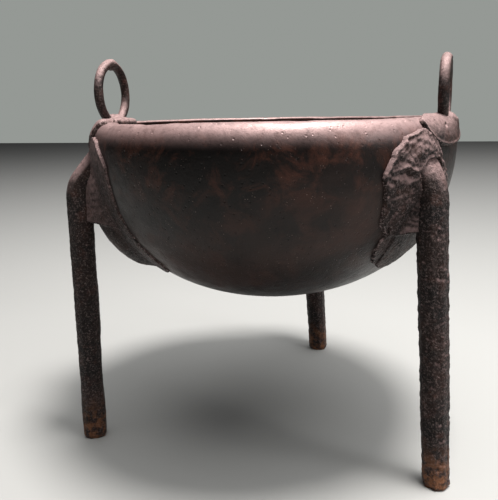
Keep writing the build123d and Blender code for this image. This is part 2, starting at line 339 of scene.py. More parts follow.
def casting(name, arcs, bearings, lift):
    """A closed piece on the skin: lifted by a grid of heights, and ending where they sink in."""
    arc, bearing = np.meshgrid(arcs, bearings, indexing="ij")
    rows, columns = arc.shape
    upper = on_skin(arc, bearing, np.maximum(lift, -SUNK)).reshape(-1, 3)
    lower = on_skin(arc, bearing, np.full(arc.shape, -2 * SUNK)).reshape(-1, 3)
    proud = lift > -SUNK
    cell = proud[:-1, :-1] | proud[:-1, 1:] | proud[1:, :-1] | proud[1:, 1:]
    number = np.arange(rows * columns).reshape(rows, columns)
    a, b, c, d = number[:-1, :-1], number[:-1, 1:], number[1:, 1:], number[1:, :-1]
    total = rows * columns
    faces = [
        np.stack([a, b, c, d], -1)[cell],
        np.stack([a, d, c, b], -1)[cell] + total]
    framed = np.pad(cell, 1)
    sides = (
        (~framed[:-2, 1:-1], a, b), (~framed[1:-1, 2:], b, c),
        (~framed[2:, 1:-1], c, d), (~framed[1:-1, :-2], d, a))
    for open_side, first, second in sides:
        edge = cell & open_side
        faces.append(np.stack([second, first, first + total, second + total], -1)[edge])
    faces = np.concatenate(faces)
    used, faces = np.unique(faces, return_inverse=True)
    points = np.concatenate([upper, lower])[used]
    return new_mesh(name, points, faces.reshape(-1, 4).tolist())


def blend_up(first, second, width):
    """The larger of two heights, rounded where they meet."""
    gap = np.clip(0.5 + 0.5 * (first - second) / width, 0, 1)
    return second + (first - second) * gap + width * gap * (1 - gap)


def spread(lift, slope, arc, bearing, reach):
    """Heights that fall off sideways from the peaks in lift, by slope for each length."""
    arc_step = abs(arc[1, 0] - arc[0, 0])
    radius = np.interp(arc, SKIN_ARC, SKIN[:, 0])
    side_step = np.radians(abs(bearing[0, 1] - bearing[0, 0])) * radius
    lift = lift.copy()
    for _ in range(int(reach / arc_step)):
        lift[1:] = np.maximum(lift[1:], lift[:-1] - slope * arc_step)
        lift[:-1] = np.maximum(lift[:-1], lift[1:] - slope * arc_step)
        lift[:, 1:] = np.maximum(lift[:, 1:], lift[:, :-1] - slope * side_step[:, 1:])
        lift[:, :-1] = np.maximum(lift[:, :-1], lift[:, 1:] - slope * side_step[:, :-1])
    return lift


# Legs

LEGS = {
    # bearing, knee stance, knee drop, sway, bend, bend radius, root reach
    "front_right": (-26.9, 2.0, 48.0, 0.0, 42.0, 60.0, 16.0),
    "front_left": (210.6, 15.5, 48.0, 0.0, 38.0, 29.0, 40.0),
    "back": (87.3, 12.0, 45.0, 14.0, 42.0, 29.0, 36.0),
}
LEG_SEEDS = {"front_right": 21, "front_left": 41, "back": 61}
LEG_COARSENESS = {"front_right": 1.0, "front_left": 0.65, "back": 0.8}
# How far each root spreads against its side direction, and along it, in millimetres
ROOT_SPREADS = {"front_right": (3.0, 10.0), "front_left": (5.0, 5.0), "back": (4.0, 4.0)}
FOOT_CIRCLE = 204.7 * MM
FOOT_WIDTH = 24.5 * MM
ROOT_WIDTH = 26.4 * MM
LEG_STEP = 0.9 * MM
LEG_SIDES = 108
FLAT_SHARE = 0.5               # of the width, from a leg's middle to a flat
CORNER_SHARE = 0.524           # of the width, from a leg's middle to a corner's flat
ROUNDING = 22                  # the higher, the sharper a leg's facets meet
FOOT_SINK = 2 * MM             # how far a leg's axis starts below the floor
LET_IN = 1.6 * MM              # how far a root goes in under the bowl's skin


def level(bearing):
    turn = math.radians(bearing)
    return np.array([math.cos(turn), math.sin(turn), 0.0])


def leg_path(bearing, stance, drop, sway, bend, bend_radius, reach):
    """Points up the middle of a leg, the direction at each, and the plane's own direction."""
    out = level(bearing)
    foot = out * FOOT_CIRCLE
    knee = out * (SHOULDER_RADIUS + stance * MM) + level(bearing + 90) * sway * MM
    knee[2] = SHOULDER_HEIGHT - drop * MM
    up = (knee - foot) / np.linalg.norm(knee - foot)
    side = np.cross(up, -out)
    side /= np.linalg.norm(side)
    inward = np.cross(side, up)
    length = np.linalg.norm(knee - foot)
    start = foot - up * FOOT_SINK
    straight = start + up * np.arange(0, length + FOOT_SINK, LEG_STEP)[:, None]
    turns = np.arange(0, math.radians(bend), LEG_STEP / (bend_radius * MM))[:, None]
    centre = knee + inward * bend_radius * MM
    curve = centre + bend_radius * MM * (np.sin(turns) * up - np.cos(turns) * inward)
    last = math.radians(bend)
    along = math.cos(last) * up + math.sin(last) * inward
    bend_end = centre + bend_radius * MM * (math.sin(last) * up - math.cos(last) * inward)
    root = bend_end + along * np.arange(0, reach * MM, LEG_STEP)[:, None]
    path = np.concatenate([straight, curve, root])
    ahead = np.concatenate([
        np.repeat(up[None], len(straight), 0),
        np.cos(turns) * up + np.sin(turns) * inward,
        np.repeat(along[None], len(root), 0)])
    return path, ahead, side


def leg_skin_shift(points, side_name):
    """How far a leg's skin stands out from its facets: unevenness, lumps, grain and pits."""
    seed = LEG_SEEDS[side_name]
    # The root of each leg is smoother than its shaft
    smooth_root = 1 - 0.65 * step(points[:, 2], 245 * MM, 275 * MM)
    uneven = 0.7 * MM * smooth_noise(points, 32 * MM, seed)
    lumps = 0.45 * MM * rough_noise(points, 8 * MM, 3, seed + 5)
    grain = 0.42 * MM * rough_noise(points, 3.0 * MM, 2, seed + 9)
    pits = np.minimum(rough_noise(points, 4.5 * MM, 2, seed + 13) + 0.55, 0)
    coarse = LEG_COARSENESS[side_name] * smooth_root
    shift = uneven + coarse * (lumps + grain + 1.1 * MM * pits) - 0.5 * MM
    worn = 1 - step(points[:, 2], 0, 3.5 * MM)
    shift -= worn * (1.6 * MM + 0.8 * MM * smooth_noise(points, 7 * MM, seed + 17))
    return shift


def make_leg(side_name):
    """A leg: a rod with soft, uneven facets and a corroded skin, let into the wall."""
    path, ahead, side = leg_path(*LEGS[side_name])
    turn = np.arange(LEG_SIDES) * 2 * math.pi / LEG_SIDES
    facets = np.arange(8) * math.pi / 4
    shares = np.where(np.arange(8) % 2 == 0, FLAT_SHARE, CORNER_SHARE)
    reach = np.maximum(np.cos(turn[:, None] - facets), 0) / shares
    section = np.sum(reach ** ROUNDING, axis=1) ** (-1 / ROUNDING)
    share = np.clip(path[:, 2] / (SHOULDER_HEIGHT - 50 * MM), 0, 1)
    width = FOOT_WIDTH + (ROOT_WIDTH - FOOT_WIDTH) * share
    outer = np.cross(ahead, side)
    direction = (
        np.cos(turn)[None, :, None] * outer[:, None, :]
        + np.sin(turn)[None, :, None] * side[None, None, :])
    radius = width[:, None] * section[None, :]
    points = (path[:, None, :] + direction * radius[:, :, None]).reshape(-1, 3)
    points += direction.reshape(-1, 3) * leg_skin_shift(points, side_name)[:, None]
    # The root spreads sideways where it meets the wall
    sideways = np.tile(np.sin(turn), len(path))
    rise = step(points[:, 2], 270 * MM, 302 * MM)
    for way, spread_width in zip((-1, 1), ROOT_SPREADS[side_name]):
        wide = np.clip(way * sideways, 0, 1) ** 1.5 * rise * spread_width * MM
        points += way * side * wide[:, None]
    points[:, 2] = np.maximum(points[:, 2], 0)
    # Nothing of the root comes through the wall
    from_axis = np.hypot(points[:, 0], points[:, 1])
    least = skin_radius(points[:, 2]) - LET_IN
    near = (points[:, 2] > 200 * MM) & (from_axis < least)
    points[near, :2] *= (least[near] / from_axis[near])[:, None]
    number = np.arange(len(points)).reshape(len(path), LEG_SIDES)
    a, d = number[:-1], number[1:]
    b, c = np.roll(a, -1, 1), np.roll(d, -1, 1)
    faces = np.stack([a, b, c, d], -1).reshape(-1, 4).tolist()
    count = len(points)
    ends = [points[:LEG_SIDES].mean(0), points[count - LEG_SIDES:].mean(0)]
    ends[1][:2] *= (skin_radius(ends[1][2]) - LET_IN) / np.hypot(*ends[1][:2])
    points = np.concatenate([points, ends])
    for index in range(LEG_SIDES):
        after = (index + 1) % LEG_SIDES
        faces.append((count, after, index))
        faces.append((count + 1, count - LEG_SIDES + index, count - LEG_SIDES + after))
    name = "leg_%s_rod" % side_name
    piece = add_object(name, new_mesh(name, points, faces))
    stand_in(piece, "leg_" + side_name)
    return piece


RAY_START = 110 * MM


def lift_of(piece, arc, bearing):
    """How far a piece stands off the skin at each point, or less than nothing where it doesn't."""
    mesh = piece.data
    tree = BVHTree.FromPolygons(
        [tuple(point) for point in mesh_points(mesh)],
        [tuple(face.vertices) for face in mesh.polygons])
    high = on_skin(arc, bearing, RAY_START)
    low = on_skin(arc, bearing, 0.0)
    lift = np.full(arc.shape, NOWHERE)
    for index in np.ndindex(arc.shape):
        start = Vector(high[index])
        hit = tree.ray_cast(start, Vector(low[index]) - start, RAY_START + 1 * MM)
        if hit[0] is not None:
            lift[index] = RAY_START - hit[3]
    return lift


# Pads

PAD_OUTLINES = {
    # bearing, and millimetres along the skin from the widest point
    "front_right": (
        (-30.6, 17.9), (-34.0, 15.6), (-37.3, 13.5), (-38.8, 12.1), (-39.4, 8.2), (-41.2, 5.3),
        (-42.5, 3.1), (-43.4, -0.6), (-43.4, -4.5), (-44.0, -6.0), (-44.5, -9.8), (-45.2, -15.2),
        (-45.7, -19.9), (-44.9, -29.9), (-44.3, -42.8), (-44.1, -51.9), (-43.4, -61.6),
        (-42.0, -69.0), (-40.3, -75.2), (-40.8, -81.6), (-40.9, -89.9), (-40.5, -97.8),
        (-38.1, -107.8), (-34.0, -116.0), (-31.0, -121.3), (-25.3, -121.0), (-21.0, -114.0),
        (-17.5, -100.0), (-14.0, -80.0), (-13.0, -60.0), (-14.0, -40.0), (-17.0, -25.0),
        (-20.5, -15.0), (-22.6, -6.9), (-23.8, -1.6), (-26.1, 6.5), (-28.0, 13.3)),
    "front_left": (
        (222.0, 13.0), (225.6, 10.0), (228.4, 3.2), (231.0, -4.4), (232.6, -11.9),
        (233.0, -23.5), (233.3, -37.4), (233.8, -46.9), (233.9, -56.9), (234.2, -70.7),
        (235.0, -86.8), (235.6, -96.9), (237.0, -108.0), (238.5, -121.0), (237.0, -132.0),
        (230.0, -139.0), (219.0, -137.0), (208.0, -121.0), (198.5, -97.0), (193.0, -75.0),
        (190.0, -55.0), (189.5, -35.0), (191.0, -15.0), (195.0, 0.0), (201.0, 9.0), (210.0, 13.0)),
    "back": (
        (96.0, 14.0), (103.0, 9.0), (107.5, -2.0), (108.5, -20.0), (107.0, -45.0),
        (106.5, -70.0), (104.0, -95.0), (98.0, -114.0), (89.0, -120.0), (80.0, -112.0),
        (75.5, -92.0), (74.5, -65.0), (73.0, -40.0), (73.5, -18.0), (77.0, 0.0), (84.0, 12.0)),
}
PAD_THICKNESSES = {"front_right": 3.2, "front_left": 1.7, "back": 2.6}
PAD_SEEDS = {"front_right": 121, "front_left": 141, "back": 161}
PAD_COARSENESS = {"front_right": 1.0, "front_left": 0.6, "back": 0.8}
PAD_ARC_STEP = 0.85                # millimetres
PAD_BEARING_STEP = 0.27            # degrees
# The swelling behind each knee is part of an egg: how far its middle is from the axis, in
# millimetres, and then its half lengths, its height and its outward lean in degrees
PAD_BOSSES = {"front_right": 112.0, "front_left": 132.5, "back": 128.0}
BOSS_LONG = 74 * MM
BOSS_WIDE = 55 * MM
BOSS_HEIGHT = 255 * MM
BOSS_LEAN = 25.0
# The metal between pad and leg ends below in a crotch: where the leg stops feeding it, along
# the skin, and the height of its underside
CROTCH_ARC = -76.0 * MM
CROTCH_HEIGHT = 239 * MM
FILL_SLOPE = 0.95
FILL_REACH = 45 * MM
COVER_SLOPE = 1.1
COVER_REACH = 14 * MM
PIT_LINE = ((-40.0, -18.5), (-38.2, -17.5), (-36.8, -20.5))
LEDGE_LINE = ((-41.0, -14.0), (-38.6, -12.0), (-36.4, -15.5), (-35.0, -16.5))
CRACK_LINE = (
    (-39.2, -50.0), (-39.7, -53.4), (-40.4, -59.8), (-39.6, -70.2), (-40.2, -77.0),
    (-42.0, -80.0))
SEAMS = {
    # bearing, and millimetres along the skin below which the root is bare
    "front_right": (
        (-37.0, -16.0), (-34.5, -10.0), (-32.0, -5.5), (-28.5, -1.5), (-25.5, -4.0),
        (-20.0, -14.0)),
    "front_left": ((200.0, -12.0), (206.0, 2.0), (210.6, 7.0), (215.0, 2.0), (222.0, -12.0)),
    "back": ((80.0, -12.0), (87.0, 2.0), (91.6, 7.0), (96.0, 2.0), (103.0, -12.0)),
}


def boss_lift(bearing_of_leg, distance, arc, bearing):
    """Where an egg let into the bowl comes out through the skin, and how far."""
    out = level(bearing_of_leg)
    middle = out * distance + np.array([0, 0, BOSS_HEIGHT])
    lean = math.radians(BOSS_LEAN)
    spine = out * math.sin(lean) + np.array([0, 0, math.cos(lean)])
    foot = on_skin(arc, bearing, 0.0)
    normal = (on_skin(arc, bearing, MM) - foot) / MM
    gap = foot - middle

    def squared(first, second):
        along = (first @ spine) * (second @ spine)
        return along / BOSS_LONG ** 2 + (np.sum(first * second, -1) - along) / BOSS_WIDE ** 2
    a, b, c = squared(normal, normal), squared(normal, gap), squared(gap, gap) - 1
    inner = b * b - a * c
    lift = (-b + np.sqrt(np.maximum(inner, 0))) / a
    return np.where(inner > 0, np.maximum(lift, NOWHERE), NOWHERE)


def crotch_fill(arc, bearing, rod):
    """The metal that fills the corner between the leg's root and the wall, level below."""
    skin_height = on_skin(arc, bearing)[..., 2]
    width = np.interp(skin_height, [0, 262 * MM], [FOOT_WIDTH, ROOT_WIDTH])
    middle = np.minimum(rod - 1.5 * MM, np.maximum(rod - width * 0.55, 0))
    middle = np.where((rod > -5 * MM) & (arc > CROTCH_ARC), middle, NOWHERE)
    fill = spread(middle, FILL_SLOPE, arc, bearing, FILL_REACH)
    # Where the skin faces down, the fill stops at the crotch's height
    downward = np.maximum((skin_height - on_skin(arc, bearing, MM)[..., 2]) / MM, 0.02)
    return np.minimum(fill, (skin_height - CROTCH_HEIGHT) / downward)


def pad_body(side_name, arc, bearing, rod, within):
    """A pad's smooth form: a plate with the swelling and the fill blended in."""
    leg_bearing, sway = LEGS[side_name][0], LEGS[side_name][3]
    turned = leg_bearing + math.degrees(sway * MM / SHOULDER_RADIUS)
    thickness = PAD_THICKNESSES[side_name] * MM
    body = np.full(arc.shape, thickness)
    boss = boss_lift(turned, PAD_BOSSES[side_name] * MM, arc, bearing)
    body = blend_up(boss, body, 5 * MM)
    body = blend_up(crotch_fill(arc, bearing, rod), body, 9 * MM)
    soft = np.where(arc < -85 * MM, 9 * MM, 16 * MM)
    return thickness + (body - thickness) * step(within / soft, 0.05, 1)


def mark_front_right(lift, within, arc, bearing, waver):
    """The marks of the front right pad, as the photo shows them."""
    # A bright lip at the upper left
    lip = ridge(within - 2 * MM, 1.4 * MM) * step(arc, -30 * MM, -10 * MM)
    lift += 1.0 * MM * lip * (bearing < -33)
    # A ledge over a pit
    lift -= 3.0 * MM * ridge(along_line(PIT_LINE, arc, bearing), 3.2 * MM)
    lift += 1.5 * MM * ridge(along_line(LEDGE_LINE, arc, bearing), 1.6 * MM)
    # A crack, below which an older, smoother tongue lies lower
    lift -= 3.4 * MM * ridge(along_line(CRACK_LINE, arc, bearing) + waver, 1.3 * MM)
    lift -= 1.2 * MM * step(-arc, 72 * MM, 78 * MM) * (bearing < -36)


def make_pad(side_name, leg):
    """A pad: granular cast metal over the wall and round the leg's root, with a ragged edge."""
    outline = PAD_OUTLINES[side_name]
    heights = [corner[1] for corner in outline]
    arcs, bearings = skin_grid(
        outline, min(heights) - 4, max(heights) + 4, PAD_ARC_STEP, PAD_BEARING_STEP)
    arc, bearing = np.meshgrid(arcs, bearings, indexing="ij")
    foot = on_skin(arc, bearing).reshape(-1, 3)

    def noise(size, octaves, seed):
        return rough_noise(foot, size * MM, octaves, seed).reshape(arc.shape)
    seed = PAD_SEEDS[side_name]
    skin = PAD_COARSENESS[side_name]
    within = inside_outline(outline, arc, bearing)
    within += skin * (1.1 * MM * noise(9, 3, seed) + 0.5 * MM * noise(3, 2, seed + 3))
    rod = lift_of(leg, arc, bearing)
    lift = pad_body(side_name, arc, bearing, rod, within)
    grain = 0.55 * MM * noise(7, 2, seed + 21) + 0.42 * MM * noise(2.8, 2, seed + 23)
    pits = np.minimum(noise(6, 2, seed + 27) + 0.5, 0) * 1.5 * MM
    coarse = 1.0
    if side_name == "front_right":
        coarse = 0.55 + 0.75 * step(arc, -75 * MM, -25 * MM)
        mark_front_right(lift, within, arc, bearing, 0.5 * MM * noise(3, 1, seed + 31))
    if side_name == "front_left":
        # A short crease along the edge, at the top
        crease = ridge(within - 1.5 * MM, 0.9 * MM) * step(arc, -20 * MM, -12 * MM)
        lift += 0.8 * MM * crease * (bearing > 220)
        coarse = 0.7
    lift = lift + skin * coarse * (grain + pits)
    edge = step(within, -0.3 * MM, 0.9 * MM)
    lift = lift * edge - 3 * MM * (1 - edge)
    # The pad closes over the top of the root and leaves the rest of the rod bare
    seam = np.interp(bearing, *zip(*SEAMS[side_name])) * MM
    over = step(arc, seam - 0.5 * MM, seam + 1.0 * MM)
    cover = np.where(rod > 0, rod + 0.9 * MM, NOWHERE)
    cover = spread(cover, COVER_SLOPE, arc, bearing, COVER_REACH)
    cover += 0.35 * MM * noise(3, 2, seed + 41)
    near_root = (rod > -5 * MM) | (cover > lift)
    covered = np.where(near_root, blend_up(cover, lift, 2 * MM), lift)
    lift = np.where(edge > 0.5, lift + (covered - lift) * over, lift)
    bare = (rod > 0) & (over < 0.5)
    lift = np.where(bare, np.minimum(lift, rod - 1.2 * MM), lift)
    name = "pad_%s_casting" % side_name
    piece = add_object(name, casting(name, arcs, bearings, lift))
    stand_in(piece, "pad_" + side_name)
    return piece


# Saddles and rings

RINGS = {
    # bearing, twist, stance, radius, bed, swelling
    "left": (186.0, -3.0, 6.1, 30.5, 6.0, 1.5),
    "right": (-6.0, 3.4, 1.8, 28.0, 9.3, 0.5),
}
FLAPS = {
    "left": (
        (220.6, 33.0), (220.6, 26.0), (220.0, 18.0), (219.0, 12.4), (214.0, 3.0), (207.0, -2.0),
        (199.0, -4.0), (191.0, -2.5), (185.0, 1.0), (180.0, 8.0), (177.8, 16.0), (177.5, 26.0),
        (178.0, 33.0)),
    "right": (
        (-22.0, 36.0), (-26.5, 31.0), (-29.5, 27.5), (-30.6, 24.5), (-30.7, 21.6), (-29.5, 13.4),
        (-26.6, 6.3), (-23.3, 2.4), (-19.2, 0.8), (-13.8, 1.2), (-8.0, 3.0), (-3.0, 7.0),
        (1.0, 14.0), (2.5, 22.0), (2.0, 33.0), (-2.0, 36.0)),
}
SADDLE_SEEDS = {"left": 221, "right": 241}
SADDLE_COARSENESS = {"left": 1.0, "right": 0.45}
SADDLE_ARC_STEP = 0.7              # millimetres
SADDLE_BEARING_STEP = 0.23         # degrees
SADDLE_TOP = 64                    # millimetres along the skin, inside the lip
SADDLE_THICKNESS = 2.8 * MM
TONGUE_HALF_WIDTH = 8.2            # degrees
TONGUE_START = 30 * MM             # along the skin, on the rim
TONGUE_END = 60 * MM               # along the skin, down inside the lip
HOLE_LINE = ((-18.4, 18.0), (-18.0, 19.0))
RING_SEEDS = {"left": 321, "right": 341}
RING_STEPS = 280
RING_SIDES = 48
RING_ROD = 4.75 * MM               # the rod's radius
RING_LUMP = 6.0                    # millimetres, half the length of the lump at the top


def make_saddle(side_name):
    """A saddle: the flap outside, the lumpy hump round the ring's foot and the tongue inside."""
    outline = FLAPS[side_name]
    lowest = min(corner[1] for corner in outline)
    arcs, bearings = skin_grid(
        outline, lowest - 3, SADDLE_TOP, SADDLE_ARC_STEP, SADDLE_BEARING_STEP)
    arc, bearing = np.meshgrid(arcs, bearings, indexing="ij")
    foot = on_skin(arc, bearing).reshape(-1, 3)

    def noise(size, octaves, seed):
        return rough_noise(foot, size * MM, octaves, seed).reshape(arc.shape)
    seed = SADDLE_SEEDS[side_name]
    rough = SADDLE_COARSENESS[side_name]
    flap = inside_outline(outline, arc, bearing)
    aside = np.radians(bearing - RINGS[side_name][0]) * RIM_RADIUS
    tongue_width = np.radians(TONGUE_HALF_WIDTH) * RIM_RADIUS
    taper = 1 - (arc - TONGUE_START) ** 2 / (TONGUE_END - TONGUE_START) ** 2
    tongue_width = tongue_width * np.sqrt(np.clip(taper, 0, 1))
    tongue = np.minimum(tongue_width - np.abs(aside), arc - 27 * MM)
    within = np.maximum(flap, tongue) + 0.35 * MM * noise(6, 2, seed)
    uneven = 0.5 * MM * noise(9, 3, seed + 3) + 0.25 * MM * noise(3, 2, seed + 5)
    lift = SADDLE_THICKNESS + rough * uneven
    hump = ridge(aside, (9 + 6 * rough) * MM) * ridge(arc - 24 * MM, 9 * MM)
    lift += hump * (9.0 * rough * MM + rough * 2.8 * MM * noise(7, 3, seed + 9))
    if side_name == "right":
        # A small hole, and a thickened edge
        lift -= 2.2 * MM * ridge(along_line(HOLE_LINE, arc, bearing), 1.2 * MM)
        lift += 0.5 * MM * ridge(within - 1.5 * MM, 1.2 * MM) * (arc < 24 * MM)
    edge = step(within, -0.3 * MM, 0.8 * MM)
    lift = lift * edge - 3 * MM * (1 - edge)
    name = "saddle_%s_casting" % side_name
    piece = add_object(name, casting(name, arcs, bearings, lift))
    stand_in(piece, "saddle_" + side_name)
    return piece


def make_ring(side_name):
    """A ring handle of slightly uneven rod, with a rough lump where its ends were joined."""
    bearing, twist, stance, radius, bed, swelling = RINGS[side_name]
    middle = level(bearing) * (RIM_RADIUS + stance * MM)
    middle[2] = RIM_HEIGHT + (5 - bed + radius) * MM
    across = level(bearing + twist + 90)
    facing = level(bearing + twist)
    up = np.array([0, 0, 1.0])
    around = np.arange(RING_STEPS) * 2 * math.pi / RING_STEPS
    turn = np.arange(RING_SIDES) * 2 * math.pi / RING_SIDES
    spoke = np.cos(around)[:, None] * across + np.sin(around)[:, None] * up
    centre = middle + spoke * radius * MM
    direction = (
        np.cos(turn)[None, :, None] * spoke[:, None, :]
        + np.sin(turn)[None, :, None] * facing[None, None, :]).reshape(-1, 3)
    points = np.repeat(centre, RING_SIDES, 0) + direction * RING_ROD
    from_top = np.abs(np.angle(np.exp(1j * (around - math.pi / 2))))
    lump = ridge(np.repeat(from_top, RING_SIDES) * radius, RING_LUMP)
    seed = RING_SEEDS[side_name]
    shift = 0.25 * MM * smooth_noise(points, 14 * MM, seed)
    shift += 0.12 * MM * rough_noise(points, 4 * MM, 2, seed + 1)
    shift += lump * (swelling - 0.4 + 0.5 * smooth_noise(points, 4 * MM, seed + 3)) * MM
    points += direction * shift[:, None]
    number = np.arange(len(points)).reshape(RING_STEPS, RING_SIDES)
    a, b = number, np.roll(number, -1, 0)
    faces = np.stack([a, b, np.roll(b, -1, 1), np.roll(a, -1, 1)], -1).reshape(-1, 4)
    name = "ring_%s_rod" % side_name
    piece = add_object(name, new_mesh(name, points, faces.tolist()))
    stand_in(piece, "ring_" + side_name)
    return piece


# Materials

class Patina:
    """Node shorthand for one procedural bronze."""

    def __init__(self, name):
        self.material = bpy.data.materials.new(name)
        self.material.use_nodes = True
        self.tree = self.material.node_tree
        self.shader = self.tree.nodes["Principled BSDF"]
        self.place = self.tree.nodes.new("ShaderNodeTexCoord").outputs["Object"]
        geometry = self.tree.nodes.new("ShaderNodeNewGeometry")
        split = self.tree.nodes.new("ShaderNodeSeparateXYZ")
        self.link(geometry.outputs["Normal"], split.inputs[0])
        self.facing_up = split.outputs["Z"]
        where = self.tree.nodes.new("ShaderNodeSeparateXYZ")
        self.link(self.place, where.inputs[0])
        self.height = where.outputs["Z"]
        self.pointiness = geometry.outputs["Pointiness"]

    def link(self, source, target):
        self.tree.links.new(source, target)

    def noise(self, size, detail, roughness, distortion=0.0):
        """Noise with lumps of about this size in metres."""
        node = self.tree.nodes.new("ShaderNodeTexNoise")
        node.inputs["Scale"].default_value = 1.0 / size
        node.inputs["Detail"].default_value = detail
        node.inputs["Roughness"].default_value = roughness
        node.inputs["Distortion"].default_value = distortion
        self.link(self.place, node.inputs["Vector"])
        return node.outputs["Fac"]

    def cells(self, size):
        """Distance from scattered points about this far apart."""
        node = self.tree.nodes.new("ShaderNodeTexVoronoi")
        node.inputs["Scale"].default_value = 1.0 / size
        node.inputs["Randomness"].default_value = 1.0
        self.link(self.place, node.inputs["Vector"])
        return node.outputs["Distance"]

    def ramp(self, value, low, high, start=0.0, end=1.0):
        """Goes smoothly from start, where value is low, to end, where it is high."""
        node = self.tree.nodes.new("ShaderNodeMapRange")
        node.interpolation_type = "SMOOTHSTEP"
        node.inputs["From Min"].default_value = low
        node.inputs["From Max"].default_value = high
        node.inputs["To Min"].default_value = start
        node.inputs["To Max"].default_value = end
        self.link(value, node.inputs["Value"])
        return node.outputs["Result"]

    def math(self, operation, first, second):
        node = self.tree.nodes.new("ShaderNodeMath")
        node.operation = operation
        for socket, value in zip(node.inputs, (first, second)):
            if isinstance(value, (int, float)):
                socket.default_value = value
            else:
                self.link(value, socket)
        return node.outputs[0]

    def times(self, first, second):
        return self.math("MULTIPLY", first, second)

    def plus(self, first, second):
        return self.math("ADD", first, second)

    def mix(self, share, first, second):
        """The first colour where share is 0, the second where it is 1."""
        node = self.tree.nodes.new("ShaderNodeMix")
        node.data_type = "RGBA"
        self.link(share, node.inputs["Factor"])
        for socket, value in ((node.inputs[6], first), (node.inputs[7], second)):
            if isinstance(value, tuple):
                socket.default_value = (*value, 1.0)
            else:
                self.link(value, socket)
        return node.outputs[2]

    def bump(self, layers):
        """Adds up bump layers of (height, depth in metres)."""
        normal = None
        for height, depth in layers:
            node = self.tree.nodes.new("ShaderNodeBump")
            node.inputs["Strength"].default_value = 1.0
            node.inputs["Distance"].default_value = depth
            self.link(height, node.inputs["Height"])
            if normal is not None:
                self.link(normal, node.inputs["Normal"])
            normal = node.outputs["Normal"]
        self.link(normal, self.shader.inputs["Normal"])


DARK = (0.005, 0.0034, 0.0030)
BROWN = (0.026, 0.013, 0.010)
RED = (0.105, 0.036, 0.022)
# Dust colour; on the pads it is also painted light on their lit faces
DUST = (0.400, 0.268, 0.256)
SPECK = (0.42, 0.31, 0.28)
RUST = (0.33, 0.135, 0.060)


BOWL_METALLIC = 0.35
BOWL_SPECULAR = 0.35
BOWL_ROUGHNESS = (0.33, 0.46)
CASTING_METALLIC = 0.2
CASTING_SPECULAR = 0.3
CASTING_ROUGHNESS = (0.42, 0.66)
RED_BAND = (0.262, 0.312)          # metres above the floor, from where the bowl is redder
RUST_BAND = (0.055, 0.0)           # metres above the floor, where rust comes in
DUST_AND_PAINTED_LIGHT_SPAN = 0.6                    # of the normal's upward part, from no dust to full dust; on the pads, whose ramp starts below level, the same pale colour is also painted light


def bowl_bronze():
    """Near-black cast bronze: reddish below the shoulder, with dust on top and light flecks."""
    patina = Patina("bowl_bronze_patina")
    broad = patina.ramp(patina.noise(110 * MM, 3, 0.5, 0.4), 0.38, 0.66)
    colour = patina.mix(broad, DARK, BROWN)
    band = patina.ramp(patina.height, *RED_BAND)
    blotch = patina.ramp(patina.noise(24 * MM, 6, 0.68, 0.5), 0.44, 0.68)
    red = patina.times(blotch, patina.plus(patina.times(band, 0.55), 0.16))
    colour = patina.mix(red, colour, RED)
    fleck = patina.ramp(patina.cells(2.3 * MM), 0.17, 0.07)
    some = patina.ramp(patina.noise(16 * MM, 4, 0.7), 0.52, 0.62)
    colour = patina.mix(patina.times(patina.times(fleck, some), 0.6), colour, SPECK)
    up = patina.ramp(patina.facing_up, 0.08, 0.60)
    pale_upward_mask = patina.times(up, patina.ramp(patina.noise(7 * MM, 6, 0.75), 0.0, 0.6))
    colour = patina.mix(patina.times(pale_upward_mask, 0.92), colour, DUST)
    patina.link(colour, patina.shader.inputs["Base Color"])
    rough = patina.ramp(patina.noise(12 * MM, 5, 0.7), 0.3, 0.7, *BOWL_ROUGHNESS)
    rough = patina.plus(rough, patina.times(pale_upward_mask, 0.08))
    patina.link(rough, patina.shader.inputs["Roughness"])
    patina.shader.inputs["Metallic"].default_value = BOWL_METALLIC
    patina.shader.inputs["Specular IOR Level"].default_value = BOWL_SPECULAR
    pit = patina.ramp(patina.cells(6 * MM), 0.06, 0.20)
    patina.bump([
        (patina.noise(9 * MM, 6, 0.7), 0.5 * MM),
        (patina.noise(1.2 * MM, 3, 0.6), 0.12 * MM),
        (pit, 0.3 * MM)])
    return patina.material


